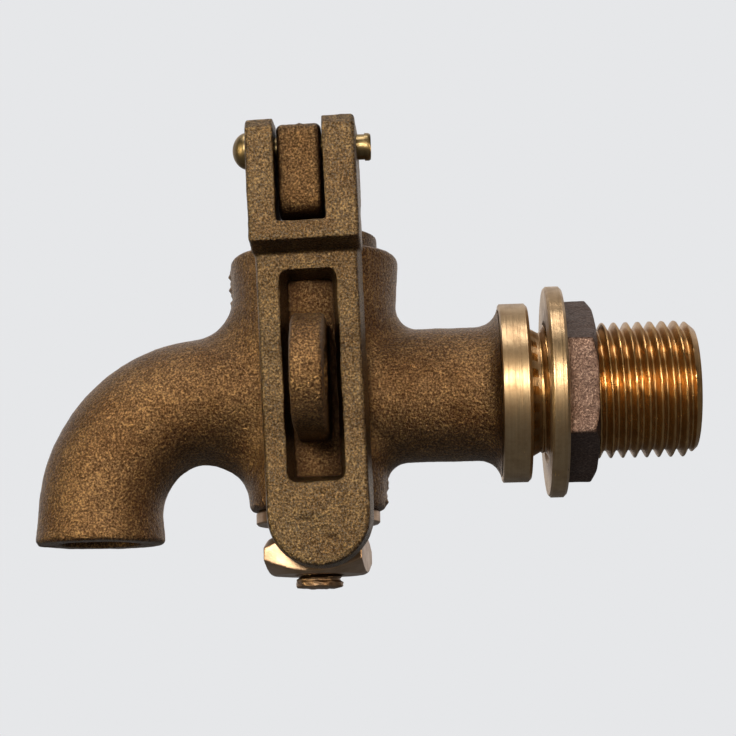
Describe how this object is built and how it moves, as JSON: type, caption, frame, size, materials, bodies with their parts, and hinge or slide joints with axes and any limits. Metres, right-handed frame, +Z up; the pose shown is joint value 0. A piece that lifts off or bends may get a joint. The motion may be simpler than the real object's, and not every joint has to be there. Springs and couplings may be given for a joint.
{
  "type": "hose bib",
  "caption": "Cast bronze wall bib tap with a down-turned spout, a tapered plug, a lockable folding lever and a threaded tail with a flanged backnut.",
  "frame": {"origin": "centre of the wall collar's face, on the inlet axis", "axes": "+X along the inlet axis into the wall, +Z up along the plug axis, -Y the side with the lever and staple"},
  "size_m": [0.1016, 0.0461, 0.0687],
  "materials": {
    "cast_bronze": "sand-cast, dulled",
    "plug_bronze": "sand-cast head, machined taper",
    "lever_bronze": "sand-cast, worn edges",
    "pin_brass": "smooth, peened",
    "washer_brass": "satin turned",
    "spring_bronze": "dull wire",
    "nut_brass": "satin milled",
    "backnut_brass": "turned flange, dark cast hexagon"
  },
  "bodies": {
    "tap": {"tap_body": "cast_bronze"},
    "plug": {"plug": "plug_bronze", "keyed_washer": "washer_brass", "spring_washer": "spring_bronze", "retaining_nut": "nut_brass"},
    "lever": {"lever": "lever_bronze", "lever_pin": "pin_brass"},
    "backnut": {"flanged_backnut": "backnut_brass"}
  },
  "joints": [
    {"name": "plug_turn", "type": "hinge", "parent": "tap", "child": "plug", "pos_m": [-0.0327, 0, 0], "axis": [0, 0, 1], "range_deg": [-2, 2]},
    {"name": "lever_lift", "type": "hinge", "parent": "plug", "child": "lever", "pos_m": [-0.03294, -0.017, 0.0349], "axis": [-0.9997, 0, -0.0244], "range_deg": [0, 180]},
    {"name": "backnut_travel", "type": "slide", "parent": "tap", "child": "backnut", "axis": [1, 0, 0], "range_m": [-0.0025, 0.0152]}
  ]
}
